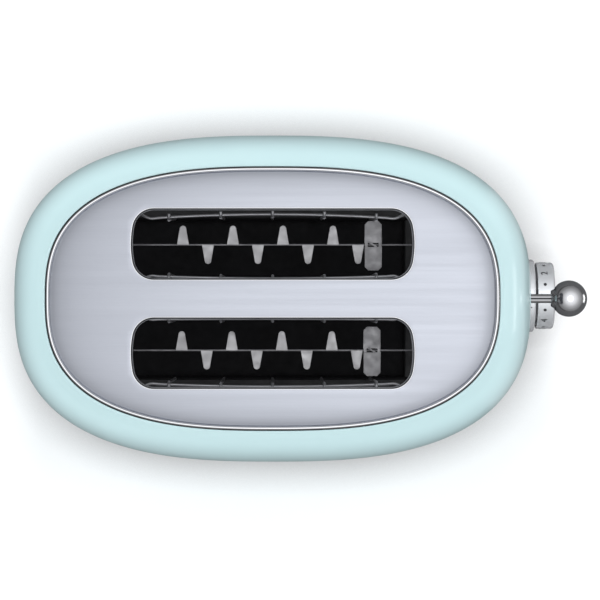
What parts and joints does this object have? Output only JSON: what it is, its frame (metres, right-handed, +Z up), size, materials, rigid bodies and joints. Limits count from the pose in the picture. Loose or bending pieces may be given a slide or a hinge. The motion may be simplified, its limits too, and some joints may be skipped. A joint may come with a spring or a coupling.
{
  "type": "pop-up toaster",
  "caption": "Retro pop-up toaster with an oval enamelled body, inset steel top, long bread slots, ball lever, turning browning dial, push buttons and crumb tray.",
  "frame": {"origin": "on the table, under the middle of the whole footprint, lever included", "axes": "+Z up, +X towards the lever end, +Y towards the rear slot"},
  "size_m": [0.333, 0.1916, 0.198],
  "materials": {
    "enamel": "glossy pastel enamel",
    "plate_steel": "finely brushed along the length",
    "chrome": "polished",
    "black_plastic": "fine moulded texture",
    "rubber": "matt",
    "chassis_steel": "galvanised, dull",
    "wire_steel": "bare wire, dull",
    "mica": "mottled mineral sheet",
    "ribbon": "heat-darkened alloy",
    "copper": "enamelled copper winding",
    "board_green": "lacquered",
    "dark_parts": "moulded",
    "nylon": "natural moulded nylon",
    "button_cap": "satin translucent white"
  },
  "bodies": {
    "body": {"shell": "enamel", "top_plate": "plate_steel", "slot_liner_front": "plate_steel", "slot_liner_rear": "plate_steel", "base_band": "chrome", "base_pan": "black_plastic", "pan_screws": "chassis_steel", "cord_gland": "rubber", "cord_cleats": "black_plastic", "foot_front_left": "rubber", "foot_front_right": "rubber", "foot_rear_left": "rubber", "foot_rear_right": "rubber", "foot_screws": "chassis_steel", "chassis_end_left": "chassis_steel", "chassis_end_right": "chassis_steel", "reflector_front": "chassis_steel", "reflector_rear": "chassis_steel", "heater_card_front": "mica", "heater_card_centre": "mica", "heater_card_rear": "mica", "heater_ribbon_front": "ribbon", "heater_ribbon_centre": "ribbon", "heater_ribbon_rear": "ribbon", "guide_post": "chrome", "post_bracket_top": "chassis_steel", "post_bracket_bottom": "chassis_steel", "post_bumper": "rubber", "return_spring": "wire_steel", "magnet_core": "chassis_steel", "magnet_coil": "copper", "control_board": "board_green", "board_parts": "dark_parts", "browning_pot": "dark_parts", "control_bracket": "black_plastic", "dial_collar": "chrome", "button_bezels": "chrome", "button_switches": "dark_parts"},
    "carriage": {"carriage_block": "nylon", "carriage_arm": "chassis_steel", "armature_plate": "chassis_steel", "lever_rod": "chrome", "lever_ball": "chrome", "bread_carrier_front": "wire_steel", "bread_carrier_rear": "wire_steel"},
    "rack_front_outer": {"guide_rack_front_outer": "wire_steel"},
    "rack_front_inner": {"guide_rack_front_inner": "wire_steel"},
    "rack_rear_inner": {"guide_rack_rear_inner": "wire_steel"},
    "rack_rear_outer": {"guide_rack_rear_outer": "wire_steel"},
    "dial": {"browning_dial": "chrome", "dial_shaft": "chassis_steel"},
    "reheat_button": {"button_reheat": "button_cap"},
    "defrost_button": {"button_defrost": "button_cap"},
    "bagel_button": {"button_bagel": "button_cap"},
    "cancel_button": {"button_cancel": "button_cap"},
    "tray": {"crumb_tray": "chassis_steel", "crumb_tray_front": "chrome"}
  },
  "joints": [
    {"name": "lever_slide", "type": "slide", "parent": "body", "child": "carriage", "axis": [0, 0, -1], "range_m": [0, 0.066], "stiffness_N_per_m": 60, "springref_m": -0.06, "deforming": ["return_spring"]},
    {"name": "rack_front_outer_tilt", "type": "hinge", "parent": "body", "child": "rack_front_outer", "pos_m": [-0.0152, -0.0482, 0.06], "axis": [-1, 0, 0], "range_deg": [0, 3.6]},
    {"name": "rack_front_inner_tilt", "type": "hinge", "parent": "body", "child": "rack_front_inner", "pos_m": [-0.0152, -0.013, 0.06], "axis": [1, 0, 0], "range_deg": [0, 3.6]},
    {"name": "rack_rear_inner_tilt", "type": "hinge", "parent": "body", "child": "rack_rear_inner", "pos_m": [-0.0152, 0.013, 0.06], "axis": [-1, 0, 0], "range_deg": [0, 3.6]},
    {"name": "rack_rear_outer_tilt", "type": "hinge", "parent": "body", "child": "rack_rear_outer", "pos_m": [-0.0152, 0.0482, 0.06], "axis": [1, 0, 0], "range_deg": [0, 3.6]},
    {"name": "dial_turn", "type": "hinge", "parent": "body", "child": "dial", "pos_m": [0.15, 0.0018, 0.043], "axis": [-1, 0, 0], "range_deg": [-90, 135]},
    {"name": "reheat_push", "type": "slide", "parent": "body", "child": "reheat_button", "axis": [-0.9692, 0.2461, 0], "range_m": [0, 0.0015], "stiffness_N_per_m": 400, "springref_m": -0.002},
    {"name": "defrost_push", "type": "slide", "parent": "body", "child": "defrost_button", "axis": [-0.9707, 0.2405, 0], "range_m": [0, 0.0015], "stiffness_N_per_m": 400, "springref_m": -0.002},
    {"name": "bagel_push", "type": "slide", "parent": "body", "child": "bagel_button", "axis": [-0.9692, -0.2461, 0], "range_m": [0, 0.0015], "stiffness_N_per_m": 400, "springref_m": -0.002},
    {"name": "cancel_push", "type": "slide", "parent": "body", "child": "cancel_button", "axis": [-0.9707, -0.2405, 0], "range_m": [0, 0.0015], "stiffness_N_per_m": 400, "springref_m": -0.002},
    {"name": "tray_slide", "type": "slide", "parent": "body", "child": "tray", "axis": [-1, 0, 0], "range_m": [0, 0.16]}
  ],
  "couplings": [
    {"joint": "rack_front_outer_tilt", "follows": "lever_slide", "rad_per_m": 0.92},
    {"joint": "rack_front_inner_tilt", "follows": "lever_slide", "rad_per_m": 0.92},
    {"joint": "rack_rear_inner_tilt", "follows": "lever_slide", "rad_per_m": 0.92},
    {"joint": "rack_rear_outer_tilt", "follows": "lever_slide", "rad_per_m": 0.92}
  ]
}
